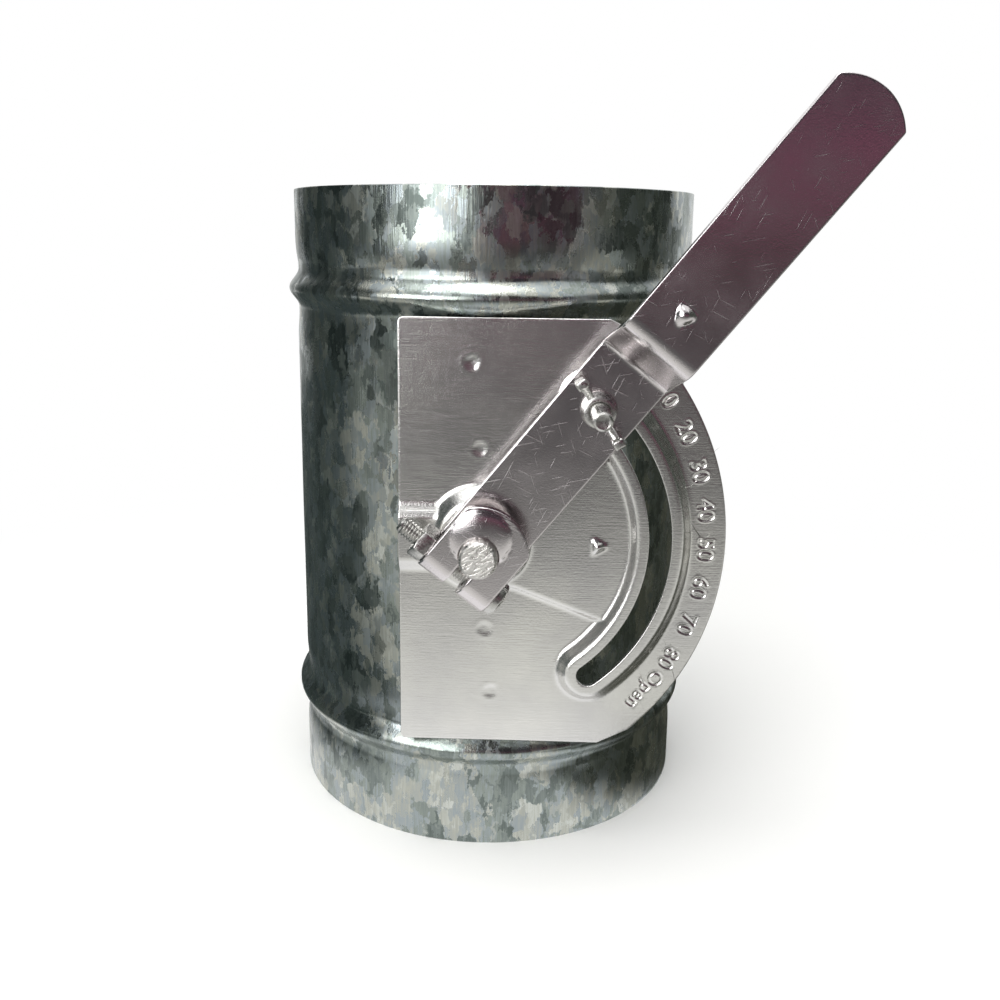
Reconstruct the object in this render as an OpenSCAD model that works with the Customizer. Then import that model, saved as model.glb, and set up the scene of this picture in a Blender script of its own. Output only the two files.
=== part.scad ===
// Manual duct damper: a sheet-steel spigot sleeve with a swinging blade, a dial plate and a lever.
// The origin is the centre of the sleeve's lower end, +Z runs up the duct, -Y faces the dial.

/* [Sleeve] */
// Length of the sleeve along the duct
sleeve_len = 150; // [130:1:240]
// Outer diameter of the two spigot ends
spigot_d = 99.2; // [97:0.1:125]
// Sheet thickness of the sleeve
sleeve_wall = 0.6; // [0.5:0.1:1]
// Straight length of each spigot before it necks in
spigot_len = 11; // [8:0.5:14]
// How far the body lies inside the spigot's radius
body_step = 0.2; // [0:0.05:0.4]
// How far the neck beside each bead lies inside the spigot's radius
neck_step = 0.55; // [0.3:0.05:0.8]
// How far a stop bead stands out of the neck
bead_h = 2.3; // [1.5:0.1:3]
// Width of a stop bead
bead_w = 9.2; // [7:0.1:9.4]

/* [Shaft and blade] */
// Diameter of the shaft
shaft_d = 8; // [6:0.5:10]
// Gap between the shaft and its bushes, on the radius
shaft_gap = 0.05; // [0.02:0.01:0.1]
// How far the shaft's front end stands out of the lever's clamp
shaft_proud = 3.8; // [2:0.1:8]
// Thickness of the blade
blade_t = 1.2; // [0.8:0.1:2]
// Gap between the blade's edge and the sleeve's bore
blade_gap = 0.5; // [0.3:0.1:2]
// Distance of each blade screw from the middle of the shaft
blade_screw_at = 22; // [12:1:30]

/* [Bushes] */
// Outer diameter of a bush's barrel
bush_d = 11; // [10.5:0.5:14]
// Thickness of the rear bush's flange
rear_flange_t = 3; // [2:0.5:5]
// Gap between a bush and the hole it sits in, on the radius
bush_fit = 0.05; // [0.02:0.01:0.2]

/* [Dial plate] */
// Sheet thickness of the dial plate
plate_t = 1.2; // [1:0.1:1.5]
// Distance from the shaft to the plate's straight side edge
plate_left = 18.2; // [18:0.1:22]
// How far the plate's top and bottom edges reach over the foot of each stop bead
plate_over = 1; // [0:0.1:1.2]
// Width of the band for the scale between the slot's rim and the curved edge
scale_band_w = 7.5; // [6:0.1:14]
// How far the curved edge falls back at the plate's top and bottom
edge_fall = 23.4; // [18:0.1:30]
// Size of the chamfer at the ends of the curved edge
plate_chamfer = 3; // [1:0.5:5]
// Height of the raised dome and of the slot's raised rim
emboss_h = 3; // [2.5:0.1:3.5]
// Diameter of the dome's flat top
dome_top_d = 18.2; // [17.2:0.1:24]
// Width of the dome's slope
dome_slope_w = 3.1; // [2.5:0.1:4]
// Radius of the slot's centre line about the shaft
slot_r = 38.6; // [37:0.1:40]
// Gap between the locking stud and each side of the slot
slot_gap = 0.4; // [0.3:0.05:0.8]
// Travel that the slot leaves the locking stud past the closed lever
stop_gap = 0.3; // [0.1:0.1:2]
// Angle of the slot's lower end below the horizontal
slot_low = 52; // [45:0.5:54]
// Width of the rim's flat top beside the slot
rim_top_w = 2.5; // [2.2:0.1:3]
// Width of the rim's slope
rim_slope_w = 2; // [1.5:0.1:2.5]
// Height of the raised fan between the dome and the rim
fan_h = 1; // [0.5:0.1:1.4]
// Half angle of the fan's two creases
fan_angle = 21; // [15:1:30]
// Height of the raised rib that runs from the dome to the side edge
rib_h = 1.6; // [1:0.1:2.2]
// Half width of the rib where it meets the plate
rib_half_w = 7.6; // [6:0.1:9]
// Width of the rib's slope
rib_slope_w = 2.6; // [2:0.1:4]
// Diameter of a spot weld's dimple
weld_d = 3.6; // [2:0.1:5]
// Depth of a spot weld's dimple
weld_depth = 0.3; // [0.1:0.1:0.5]

/* [Lever] */
// Angle of the lever above the horizontal when the blade is closed
lever_angle = 51.2; // [40:0.1:51.5]
// Width of the lever's strip
lever_w = 16.8; // [14:0.1:17]
// Thickness of the lever's strip
lever_t = 2; // [1.5:0.1:2.5]
// Distance from the shaft to the lever's tip
lever_reach = 118.4; // [100:0.5:140]
// Radius of the rounded tip
tip_r = 11.5; // [9:0.5:20]
// Gap between the wing nut's sweep and the start of the joggle
joggle_room = 2.5; // [1:0.1:6]
// How far the joggle lifts the handle off the plate
joggle_rise = 9; // [6:0.5:12]
// Angle of the joggle's slope
joggle_slope = 60; // [45:1:70]
// Inner radius of the joggle's bends
bend_r = 1.5; // [1:0.1:2.5]
// Gap between the lever's back and the washers behind it
lever_gap = 0.05; // [0.02:0.01:0.2]
// Gap between the pinch screw and each side of the clamp's fold
fold_gap = 0.3; // [0.2:0.05:0.8]
// Radius of the clamp flap's rounded end
flap_r = 10.4; // [9:0.1:12]
// Width of the slot that splits the clamp
clamp_slot_w = 3.6; // [2:0.1:4]
// Gap between the clamp's bore and the shaft, on the radius
clamp_fit = 0.03; // [0.01:0.01:0.1]

/* [Fasteners] */
// Thread diameter of the screws and of the locking stud
screw_d = 4; // [3:0.5:5]
// Gap between a screw and the hole it passes through, on the radius
screw_gap = 0.2; // [0.1:0.05:0.3]
// Gap between a screw and the thread it is screwed into, on the radius
thread_gap = 0.03; // [0.01:0.01:0.1]
// Length of the clamp's pinch screw under its head
pinch_len = 25; // [22:1:30]
// Length of the locking stud in front of the lever
stud_proud = 14.8; // [10:0.1:20]
// Thickness of the washers behind the lever
washer_t = 0.8; // [0.5:0.1:1]
// Span of the wing nut across its wings
wing_span = 16.4; // [14:0.1:20]

/* [Hidden] */
round_fn = 96;
small_fn = 48;
past = 1;

// Radii and heights of the sleeve
spigot_r = spigot_d / 2;
body_r = spigot_r - body_step;
bore_r = body_r - sleeve_wall;
shaft_z = sleeve_len / 2;
neck_ramp = 6.6;
neck_flat = 1.2;
bead_at = spigot_len + neck_ramp + neck_flat + bead_w / 2;
body_flat = 1;
body_ramp = 6;
ramp_steps = 6;
bead_steps = 14;

// Screws, their heads and the small washers under them
screw_r = screw_d / 2;
head_r = screw_d;
head_h = 0.65 * screw_d;
head_edge = 0.15;
small_washer_r = head_r + 0.6;

// Depths are measured from the duct's axis towards the viewer
seat_gap = 0.05;
fold_h = screw_d + 2 * fold_gap;
plate_back = body_r + seat_gap;
plate_front = plate_back + plate_t;
dome_back = plate_back + emboss_h;
dome_front = plate_front + emboss_h;
bush_proud = 0.2;
bush_front = dome_front + bush_proud;
running_gap = 0.1;
washer_back = bush_front + running_gap;
lever_back = washer_back + washer_t + lever_gap;
lever_front = lever_back + lever_t;
flap_back = lever_front + fold_h;
flap_front = flap_back + lever_t;
shaft_front = flap_front + shaft_proud;

// Shaft, bushes and what holds the rear end
shaft_r = shaft_d / 2;
bush_bore_r = shaft_r + shaft_gap;
bush_r = bush_d / 2;
rear_flange_back = plate_back + rear_flange_t;
rear_washer_t = 1;
ring_t = 0.9;
ring_gap = 0.05;
groove_r = shaft_r - 0.8;
ring_reach = 2.2;
ring_back = rear_flange_back + running_gap + rear_washer_t + ring_gap;
shaft_tail = 2;
shaft_rear = ring_back + ring_t + shaft_tail;
end_chamfer = 0.5;
flat_half_len = bore_r - 0.2;

// Blade
blade_r = bore_r - blade_gap;
blade_top = shaft_z + blade_t;

// Sheet offsets on the back of the pressed forms
dome_offset = 0.5;
rim_offset = 0.63;
rib_offset = 0.45;
fan_offset = 0.6;

// Dial plate
slot_w = screw_d + 2 * slot_gap;
slot_half = slot_w / 2;
rim_half = slot_half + rim_top_w;
neck_gap = 0.3;
neck_half = slot_half - neck_gap;
neck_stop = neck_half - sqrt(pow(slot_half, 2) - pow(neck_half, 2));
slot_high = lever_angle + asin((neck_stop + stop_gap) / slot_r);
plate_half_h = shaft_z - bead_at - bead_w / 2 + plate_over;
plate_reach = slot_r + rim_half + rim_slope_w + scale_band_w;
plate_arc_r = (pow(edge_fall, 2) + pow(plate_half_h, 2)) / 2 / edge_fall;
plate_corner_r = 1.2;
corner_steps = 4;
dome_top_r = dome_top_d / 2;
dome_base_r = dome_top_r + dome_slope_w;
fan_neck = 7;
fan_tuck = 1.2;
weld_spots = [[-2.4, plate_half_h - 9.5], [-0.5, 20], [0.8, -21], [2.2, 12 - plate_half_h]];

// Flanges of the bushes, which fit inside the dome
flange_room = 0.6;
flange_r = dome_top_r - dome_offset - flange_room;

// Pressed pips
pip_h = 1.6;
pip_sink = 0.3;
plate_pip_at = [slot_r - 13.3, -1.1];
plate_pip_turn = 180;

// Lever and clamp
joggle_at = slot_r + wing_span / 2 + joggle_room;
joggle_mid_r = bend_r + lever_t / 2;
joggle_straight = (joggle_rise - 2 * joggle_mid_r * (1 - cos(joggle_slope))) / sin(joggle_slope);
joggle_run = 2 * joggle_mid_r * sin(joggle_slope) + joggle_straight * cos(joggle_slope);
handle_back = lever_back + joggle_rise;
handle_front = handle_back + lever_t;
handle_pip_at = [joggle_at + joggle_run + 6.4, 0.6];
fold_r_in = fold_h / 2;
fold_depth = lever_front + fold_r_in;
pinch_room = 0.2;
pinch_at = shaft_r + screw_r + pinch_room;
bend_steps = 8;

// Locking stud
bolt_head_r = slot_half + 1.6;
bolt_head_h = 1.9;
bolt_head_gap = 0.15;
bolt_head_front = dome_back - bolt_head_gap;
stud_front = lever_front + stud_proud;
slot_washer_r = slot_half + 3.6;

// Wing nut and hexagon nut
hub_r = screw_r + 1.8;
hub_top_r = screw_r + 1.1;
hub_h = 4.2;
wing_t = 1.7;
wing_end_r = 1.25;
wing_end_at = wing_span / 2 - wing_end_r;
wing_low = 2.6;
wing_high = 7.4;
wing_foot = 0.6;
wing_root = 0.4;
wing_turn = 72;
nut_gap = 0.05;
nut_seat = lever_front + nut_gap;
hex_across = 1.75 * screw_d;
hex_h = 0.8 * screw_d;
hex_turn = 12;

// Share of a smooth ramp, from 0 to 1
function ramp(t) = t <= 0 ? 0 : t >= 1 ? 1 : (1 - cos(180 * t)) / 2;

// Height of a round bead at a distance from its middle
function bead(d) = abs(d) >= bead_w / 2 ? 0 : bead_h * (1 + cos(360 * d / bead_w)) / 2;

// Outer radius of the sleeve at a distance from its nearer end
function sleeve_r(e) = spigot_r - neck_step * ramp((e - spigot_len) / neck_ramp) + bead(e - bead_at)
    + (neck_step - body_step) * ramp((e - bead_at - bead_w / 2 - body_flat) / body_ramp);

// Distances from the end at which the sleeve's outline has a point
function sleeve_stations() = [
    0,
    for (i = [0:ramp_steps]) spigot_len + neck_ramp * i / ramp_steps,
    for (i = [0:bead_steps]) bead_at - bead_w / 2 + bead_w * i / bead_steps,
    for (i = [0:ramp_steps]) bead_at + bead_w / 2 + body_flat + body_ramp * i / ramp_steps
];

// Points along an arc about a centre
function arc(centre, r, from, to, steps) =
    [for (i = [0:steps]) let (a = from + (to - from) * i / steps) centre + r * [cos(a), sin(a)]];

// Frame with the shaft as its Z axis: X to the right, Y up the duct, Z towards the viewer
module on_dial() {
    translate([0, 0, shaft_z]) rotate([90, 0, 0]) children();
}

// The same frame turned so that X runs along the closed lever
module on_lever() {
    on_dial() rotate([0, 0, lever_angle]) children();
}

module disc(from, to, r, fn = small_fn) {
    translate([0, 0, from]) cylinder(h = to - from, r = r, $fn = fn);
}

module ring(from, to, r, hole_r) {
    difference() {
        disc(from, to, r);
        disc(from - past, to + past, hole_r);
    }
}

// A round bar along Z with a small chamfer at its upper end
module bar(from, to, r, chamfer) {
    disc(from, to - chamfer, r);
    translate([0, 0, to - chamfer]) cylinder(h = chamfer, r1 = r, r2 = r - chamfer, $fn = small_fn);
}

// A pan head that stands on z = 0
module pan_head() {
    crown = head_h / 2;
    steps = 5;
    rotate_extrude($fn = small_fn)
        polygon(concat([[0, 0], [head_r - head_edge, 0], [head_r, head_edge]],
            [for (i = [0:steps]) let (a = 90 * i / steps)
                [head_r * cos(a), head_h - crown + crown * sin(a)]]));
}

// A pressed three-sided pip: the corner of a cube that stands out of a face at z = 0
module pip(h) {
    edge = 6 * h;
    intersection() {
        translate([0, 0, h - edge * sqrt(3)]) rotate([45, -atan(1 / sqrt(2)), 0]) cube(edge);
        translate([0, 0, -pip_sink]) cylinder(h = h + 1, r = 2 * h, $fn = small_fn);
    }
}

module sleeve() {
    stations = sleeve_stations();
    lower = [for (e = stations) [sleeve_r(e), e]];
    upper = [for (i = [len(stations) - 1:-1:0]) [sleeve_r(stations[i]), sleeve_len - stations[i]]];
    outer = concat(lower, upper);
    inner = [for (i = [len(outer) - 1:-1:0]) outer[i] - [sleeve_wall, 0]];
    color("darkgray")
    difference() {
        rotate_extrude($fn = round_fn) polygon(concat(outer, inner));
        on_dial() disc(-spigot_r - past, spigot_r + past, bush_r + bush_fit);
    }
}

module plate_outline() {
    corner = plate_half_h - plate_corner_r;
    arc_centre = plate_reach - plate_arc_r;
    arc_end = arc_centre + sqrt(pow(plate_arc_r, 2) - pow(plate_half_h, 2));
    intersection() {
        translate([arc_centre, 0]) circle(r = plate_arc_r, $fn = round_fn * 2);
        polygon(concat(
            arc([-plate_left + plate_corner_r, corner], plate_corner_r, 180, 90, corner_steps),
            [[arc_end - plate_chamfer, plate_half_h],
             [arc_end + plate_chamfer, plate_half_h - plate_chamfer],
             [plate_reach + past, plate_half_h - plate_chamfer],
             [plate_reach + past, plate_chamfer - plate_half_h],
             [arc_end + plate_chamfer, plate_chamfer - plate_half_h],
             [arc_end - plate_chamfer, -plate_half_h]],
            arc([-plate_left + plate_corner_r, -corner], plate_corner_r, 270, 180, corner_steps)));
    }
}

// A flat-topped ridge along the slot's arc, with round ends
module arc_ridge(from, to, low_half, high_half) {
    section = [[-low_half, 0], [low_half, 0], [high_half, to - from], [-high_half, to - from]];
    translate([0, 0, from]) {
        rotate([0, 0, -slot_low]) rotate_extrude(angle = slot_high + slot_low, $fn = round_fn)
            translate([slot_r, 0]) polygon(section);
        for (end = [[-slot_low, 180], [slot_high, 0]])
            rotate([0, 0, end[0]]) translate([slot_r, 0, 0]) rotate([0, 0, end[1]])
                rotate_extrude(angle = 180, $fn = small_fn)
                    polygon([[0, 0], [low_half, 0], [high_half, to - from], [0, to - from]]);
    }
}

// The raised dome round the shaft, which starts below the face that it stands on
module dome(from, inset) {
    foot_r = dome_base_r + past * dome_slope_w / emboss_h;
    translate([0, 0, from - past])
        cylinder(h = past + emboss_h, r1 = foot_r - inset, r2 = dome_top_r - inset, $fn = round_fn);
}

// The raised fan between the dome and the rim
module fan(from, to, inset) {
    reach = slot_r - slot_half - rim_top_w / 2;
    start = dome_base_r - fan_tuck - inset;
    spread = (reach - fan_neck) * tan(fan_angle);
    translate([0, 0, from]) linear_extrude(to - from) intersection() {
        circle(r = reach, $fn = round_fn);
        polygon([[0, -start], [fan_neck, -start], [reach, -start - spread],
                 [reach, start + spread], [fan_neck, start], [0, start]]);
    }
}

// The raised rib from the dome to the side edge
module rib(from, to, half, slope, reach) {
    translate([-reach, 0, from]) rotate([90, 0, 90]) linear_extrude(reach)
        polygon([[-half, 0], [half, 0], [half - slope, to - from], [slope - half, to - from]]);
}

module dial_plate() {
    color("gainsboro")
    on_dial() difference() {
        union() {
            translate([0, 0, plate_back]) linear_extrude(plate_t) plate_outline();
            dome(plate_front, 0);
            arc_ridge(plate_front, dome_front, rim_half + rim_slope_w, rim_half);
            fan(plate_front - past / 2, plate_front + fan_h, 0);
            rib(plate_front, plate_front + rib_h, rib_half_w, rib_slope_w, plate_left);
            translate([plate_pip_at[0], plate_pip_at[1], plate_front + fan_h])
                rotate([0, 0, plate_pip_turn]) pip(pip_h);
        }
        dome(plate_back, dome_offset);
        arc_ridge(plate_back, dome_back, rim_half + rim_slope_w - rim_offset, rim_half - rim_offset);
        fan(plate_back - past, plate_back + fan_h, fan_offset);
        rib(plate_back, plate_back + rib_h, rib_half_w - rib_offset, rib_slope_w, plate_left + past);
        arc_ridge(plate_back, dome_front + past, slot_half, slot_half);
        disc(plate_back, dome_front + past, bush_r + bush_fit);
        for (spot = weld_spots)
            translate([spot[0], spot[1], 0]) disc(plate_front - weld_depth, plate_front + past, weld_d / 2);
    }
}

module front_bush() {
    color("ivory")
    on_dial() difference() {
        union() {
            disc(bore_r, bush_front, bush_r);
            disc(plate_back, dome_back - seat_gap, flange_r);
        }
        disc(bore_r - past, bush_front + past, bush_bore_r);
    }
}

module rear_bush() {
    color("ivory")
    on_dial() difference() {
        union() {
            disc(-rear_flange_back, -bore_r, bush_r);
            disc(-rear_flange_back, -plate_back, flange_r);
        }
        disc(-rear_flange_back - past, -bore_r + past, bush_bore_r);
    }
}

module shaft() {
    color("silver")
    on_dial() difference() {
        union() {
            bar(-shaft_rear + end_chamfer, shaft_front, shaft_r, end_chamfer);
            mirror([0, 0, 1]) bar(0, shaft_rear, shaft_r, end_chamfer);
        }
        translate([-shaft_d, 0, -flat_half_len]) cube([2 * shaft_d, shaft_d, 2 * flat_half_len]);
        ring(-ring_back - ring_t - ring_gap, -ring_back + ring_gap, shaft_d, groove_r);
        for (side = [-1, 1])
            translate([0, past, side * blade_screw_at]) rotate([90, 0, 0])
                cylinder(h = shaft_d, r = screw_r + thread_gap, $fn = small_fn);
    }
}

// Places its children on the blade's top face at each screw
module at_blade_screws() {
    for (side = [-1, 1]) translate([0, side * blade_screw_at, blade_top]) children();
}

module blade() {
    color("lightgray")
    difference() {
        translate([0, 0, shaft_z]) cylinder(h = blade_t, r = blade_r, $fn = round_fn);
        at_blade_screws() disc(-blade_t - past, past, screw_r + screw_gap);
    }
}

module blade_washers() {
    color("silver")
    at_blade_screws() ring(0, washer_t, small_washer_r, screw_r + screw_gap);
}

module blade_screws() {
    color("silver")
    at_blade_screws() {
        disc(-blade_t - shaft_r + end_chamfer, washer_t + past / 2, screw_r);
        translate([0, 0, washer_t]) pan_head();
    }
}

module lever_washer() {
    color("silver")
    on_dial() ring(washer_back, washer_back + washer_t, flange_r, shaft_r + shaft_gap);
}

// The folded and joggled strip seen from its edge, along X and towards the viewer
function lever_profile() = concat(
    [[flap_r + past, flap_front]],
    arc([-pinch_at, fold_depth], fold_r_in + lever_t, 90, 270, 2 * bend_steps),
    arc([joggle_at, lever_front + bend_r], bend_r + lever_t, -90, joggle_slope - 90, bend_steps),
    arc([joggle_at + joggle_run, handle_back - bend_r], bend_r, 90 + joggle_slope, 90, bend_steps),
    [[lever_reach, handle_back], [lever_reach, handle_front]],
    arc([joggle_at + joggle_run, handle_back - bend_r], bend_r + lever_t, 90, 90 + joggle_slope, bend_steps),
    arc([joggle_at, lever_front + bend_r], bend_r, joggle_slope - 90, -90, bend_steps),
    arc([-pinch_at, fold_depth], fold_r_in, 270, 90, 2 * bend_steps),
    [[flap_r + past, flap_back]]);

module lever() {
    fold_end = pinch_at + fold_r_in + lever_t;
    color("dimgray")
    on_lever() {
        difference() {
            rotate([90, 0, 0]) linear_extrude(lever_w, center = true) polygon(lever_profile());
            difference() {
                translate([0, -lever_w, fold_depth])
                    cube([flap_r + 2 * past, 2 * lever_w, fold_r_in + lever_t + past]);
                disc(lever_front, flap_front + 2 * past, flap_r, round_fn);
            }
            difference() {
                translate([lever_reach - tip_r, -lever_w, handle_back - past])
                    cube([tip_r + past, 2 * lever_w, lever_t + 2 * past]);
                translate([lever_reach - tip_r, 0, 0])
                    disc(handle_back - 2 * past, handle_front + 2 * past, tip_r);
            }
            disc(lever_back - past, flap_front + past, shaft_r + clamp_fit);
            translate([-fold_end - past, -clamp_slot_w / 2, lever_back - past])
                cube([fold_end + past, clamp_slot_w, flap_front - lever_back + 2 * past]);
            translate([slot_r, 0, 0]) disc(lever_back - past, lever_front + past, screw_r + screw_gap);
        }
        translate([handle_pip_at[0], handle_pip_at[1], handle_front])
            pip(pip_h);
    }
}

// Frame of the pinch screw: its Z axis runs across the lever, from the head to the nut
module on_pinch() {
    on_lever() translate([-pinch_at, -lever_w / 2 - seat_gap, fold_depth]) rotate([-90, 0, 0]) children();
}

module pinch_screw() {
    color("lightslategray")
    on_pinch() {
        bar(-past / 2, pinch_len, screw_r, end_chamfer);
        mirror([0, 0, 1]) pan_head();
    }
}

module pinch_nut() {
    nut_from = lever_w + 2 * seat_gap;
    color("lightslategray")
    on_pinch() difference() {
        rotate([0, 0, hex_turn]) translate([0, 0, nut_from])
            cylinder(h = hex_h, r = hex_across / 2 / cos(30), $fn = 6);
        disc(nut_from - past, nut_from + hex_h + past, screw_r + thread_gap);
    }
}

// Frame of the locking stud: its Z axis runs towards the viewer
module on_stud() {
    on_lever() translate([slot_r, 0, 0]) children();
}

module lock_bolt() {
    color("silver")
    on_stud() {
        disc(bolt_head_front - bolt_head_h, bolt_head_front, bolt_head_r);
        translate([-neck_half, -neck_half, bolt_head_front - past / 2])
            cube([2 * neck_half, 2 * neck_half, dome_front - bolt_head_front + past / 2]);
        bar(dome_front, stud_front, screw_r, end_chamfer);
    }
}

module slot_washer() {
    color("silver")
    on_stud() translate([0, 0, lever_back - lever_gap - washer_t])
        ring(0, washer_t, slot_washer_r, screw_r + screw_gap);
}

// One wing of the wing nut, in the plane y = 0 and above z = 0
module wing() {
    rotate([90, 0, 0]) linear_extrude(wing_t, center = true)
        polygon([[0, wing_foot], [hub_r - wing_root, wing_foot], [wing_end_at, wing_low],
                 [wing_end_at, wing_high], [hub_top_r, hub_h - wing_root], [0, hub_h - wing_root]]);
    translate([wing_end_at, 0, wing_low]) cylinder(h = wing_high - wing_low, r = wing_end_r, $fn = small_fn);
}

module wing_nut() {
    color("gainsboro")
    on_stud() rotate([0, 0, wing_turn]) translate([0, 0, nut_seat]) difference() {
        union() {
            cylinder(h = hub_h, r1 = hub_r, r2 = hub_top_r, $fn = small_fn);
            for (side = [0, 180]) rotate([0, 0, side]) wing();
        }
        disc(-past, hub_h + past, screw_r + nut_gap);
    }
}

module rear_washer() {
    color("silver")
    on_dial() ring(-rear_flange_back - running_gap - rear_washer_t, -rear_flange_back - running_gap,
        flange_r, shaft_r + shaft_gap);
}

module retaining_ring() {
    color("dimgray")
    on_dial() difference() {
        ring(-ring_back - ring_t, -ring_back, shaft_r + ring_reach, groove_r + ring_gap);
        translate([-groove_r, -shaft_d, -ring_back - ring_t - past])
            cube([2 * groove_r, shaft_d, ring_t + 2 * past]);
    }
}

sleeve();
dial_plate();
front_bush();
rear_bush();
shaft();
blade();
blade_washers();
blade_screws();
lever_washer();
lever();
pinch_screw();
pinch_nut();
lock_bolt();
slot_washer();
wing_nut();
rear_washer();
retaining_ring();
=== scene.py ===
"""Manual duct damper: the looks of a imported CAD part, laid out as a Blender add-on and run as a script."""

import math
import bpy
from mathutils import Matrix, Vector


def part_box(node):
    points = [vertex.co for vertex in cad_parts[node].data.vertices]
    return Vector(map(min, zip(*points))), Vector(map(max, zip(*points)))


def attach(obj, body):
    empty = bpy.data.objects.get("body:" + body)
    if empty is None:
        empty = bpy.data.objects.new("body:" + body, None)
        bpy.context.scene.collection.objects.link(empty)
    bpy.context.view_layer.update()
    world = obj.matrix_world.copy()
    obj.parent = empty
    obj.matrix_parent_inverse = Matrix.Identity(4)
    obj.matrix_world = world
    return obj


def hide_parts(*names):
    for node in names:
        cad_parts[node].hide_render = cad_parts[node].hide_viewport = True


bl_info = {
    "name": "Manual duct damper",
    "version": (1, 0, 0),
    "blender": (4, 5, 0),
    "location": "View3D > Sidebar > Damper",
    "description": "Builds the detailed meshes, finishes and studio of a manual duct damper round its CAD frame",
    "category": "Object",
}

import bmesh
import bpy
from mathutils import Matrix, Vector, kdtree, noise
from mathutils.bvhtree import BVHTree

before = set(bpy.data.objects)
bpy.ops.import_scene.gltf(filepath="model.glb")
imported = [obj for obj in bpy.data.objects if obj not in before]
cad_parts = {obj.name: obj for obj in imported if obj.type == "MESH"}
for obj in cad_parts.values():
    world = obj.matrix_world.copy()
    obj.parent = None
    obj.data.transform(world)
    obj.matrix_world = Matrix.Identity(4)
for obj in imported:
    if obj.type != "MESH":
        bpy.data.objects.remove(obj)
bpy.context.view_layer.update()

MM = 0.001
SHAFT_Z = 75.0
LEVER_ANGLE = math.radians(51.2)

# Frames of the CAD source, in mm: the dial's has the shaft as Z and X to the right, the lever's is turned along it
ON_DIAL = Matrix.Translation((0, 0, SHAFT_Z)) @ Matrix.Rotation(math.pi / 2, 4, "X")
ON_LEVER = ON_DIAL @ Matrix.Rotation(LEVER_ANGLE, 4, "Z")


# Properties that a user would change

class SleeveSizes(bpy.types.PropertyGroup):
    """Sizes of the rolled sleeve"""
    length: bpy.props.FloatProperty(
        name="Length", description="Length of the sleeve along the duct", unit="LENGTH",
        default=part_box("sleeve")[1].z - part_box("sleeve")[0].z)
    spigot_radius: bpy.props.FloatProperty(
        name="Spigot radius", description="Outer radius of the two spigot ends", unit="LENGTH",
        default=0.0496)
    wall: bpy.props.FloatProperty(
        name="Wall", description="Thickness of the sheet", unit="LENGTH", default=0.0006)
    bead_at: bpy.props.FloatProperty(
        name="Bead position", description="Distance of each stop bead from its end", unit="LENGTH",
        default=0.0234)
    bead_height: bpy.props.FloatProperty(
        name="Bead height", description="How far a stop bead stands out of the neck", unit="LENGTH",
        default=0.0023)
    bead_width: bpy.props.FloatProperty(
        name="Bead width", description="Width of a stop bead", unit="LENGTH", default=0.0092)
    unevenness: bpy.props.FloatProperty(
        name="Unevenness", description="Depth of the shallow waves that rolling leaves in the sheet",
        unit="LENGTH", default=0.00007)


class DialSizes(bpy.types.PropertyGroup):
    """Sizes of the pressed dial plate"""
    thickness: bpy.props.FloatProperty(
        name="Thickness", description="Thickness of the sheet", unit="LENGTH", default=0.0012)
    press_height: bpy.props.FloatProperty(
        name="Press height", description="Height of the dome and of the slot's rim", unit="LENGTH",
        default=0.003)
    digit_height: bpy.props.FloatProperty(
        name="Digit height", description="Height of the stamped numbers", unit="LENGTH", default=0.0036)
    digit_depth: bpy.props.FloatProperty(
        name="Digit depth", description="Depth of the stamped numbers", unit="LENGTH", default=0.00019)
    digit_step: bpy.props.FloatProperty(
        name="Digit step", description="Angle between two numbers of the scale", subtype="ANGLE",
        default=math.radians(10.35))
    open_angle: bpy.props.FloatProperty(
        name="Open mark", description="Angle of the scale's last word below the horizontal",
        subtype="ANGLE", default=math.radians(-43.2))


class LeverSizes(bpy.types.PropertyGroup):
    """Sizes of the folded lever"""
    width: bpy.props.FloatProperty(
        name="Width", description="Width of the strip", unit="LENGTH", default=0.0168)
    thickness: bpy.props.FloatProperty(
        name="Thickness", description="Thickness of the strip", unit="LENGTH", default=0.002)
    reach: bpy.props.FloatProperty(
        name="Reach", description="Distance from the shaft to the tip", unit="LENGTH", default=0.1184)
    bulge: bpy.props.FloatProperty(
        name="Bulge", description="Height of the pressed bulge beside the shaft", unit="LENGTH",
        default=0.0011)


class HardwareSizes(bpy.types.PropertyGroup):
    """Sizes of the shaft and the fasteners"""
    shaft_radius: bpy.props.FloatProperty(
        name="Shaft radius", description="Radius of the shaft", unit="LENGTH", default=0.004)
    screw_radius: bpy.props.FloatProperty(
        name="Screw radius", description="Radius of the screws' threads", unit="LENGTH", default=0.002)
    thread_pitch: bpy.props.FloatProperty(
        name="Thread pitch", description="Pitch of the screws' threads", unit="LENGTH", default=0.0007)


def colour_property(name, text, default):
    return bpy.props.StringProperty(name=name, description=text, default=default)


class FinishColours(bpy.types.PropertyGroup):
    """Colours of the finishes, as sRGB hex values"""
    spangle_light: colour_property("Light spangle", "Pale crystals of the galvanised sheet", "#CDD1CB")
    spangle_dark: colour_property("Dark spangle", "Dark crystals of the galvanised sheet", "#818986")
    plate: colour_property("Dial plate", "Bright zinc plate on the dial", "#E6E5E1")
    lever: colour_property("Lever", "Bright zinc plate on the lever", "#DCD7D8")
    bar: colour_property("Bar", "Drawn bar of the shaft", "#D2D0CC")
    hardware: colour_property("Hardware", "Zinc plate on screws, nuts and washers", "#C9C8C5")
    nylon: colour_property("Nylon", "Natural nylon of the bushes", "#E6E2D3")
    spring: colour_property("Spring steel", "Phosphated steel of the retaining ring", "#4A4B4E")


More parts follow.
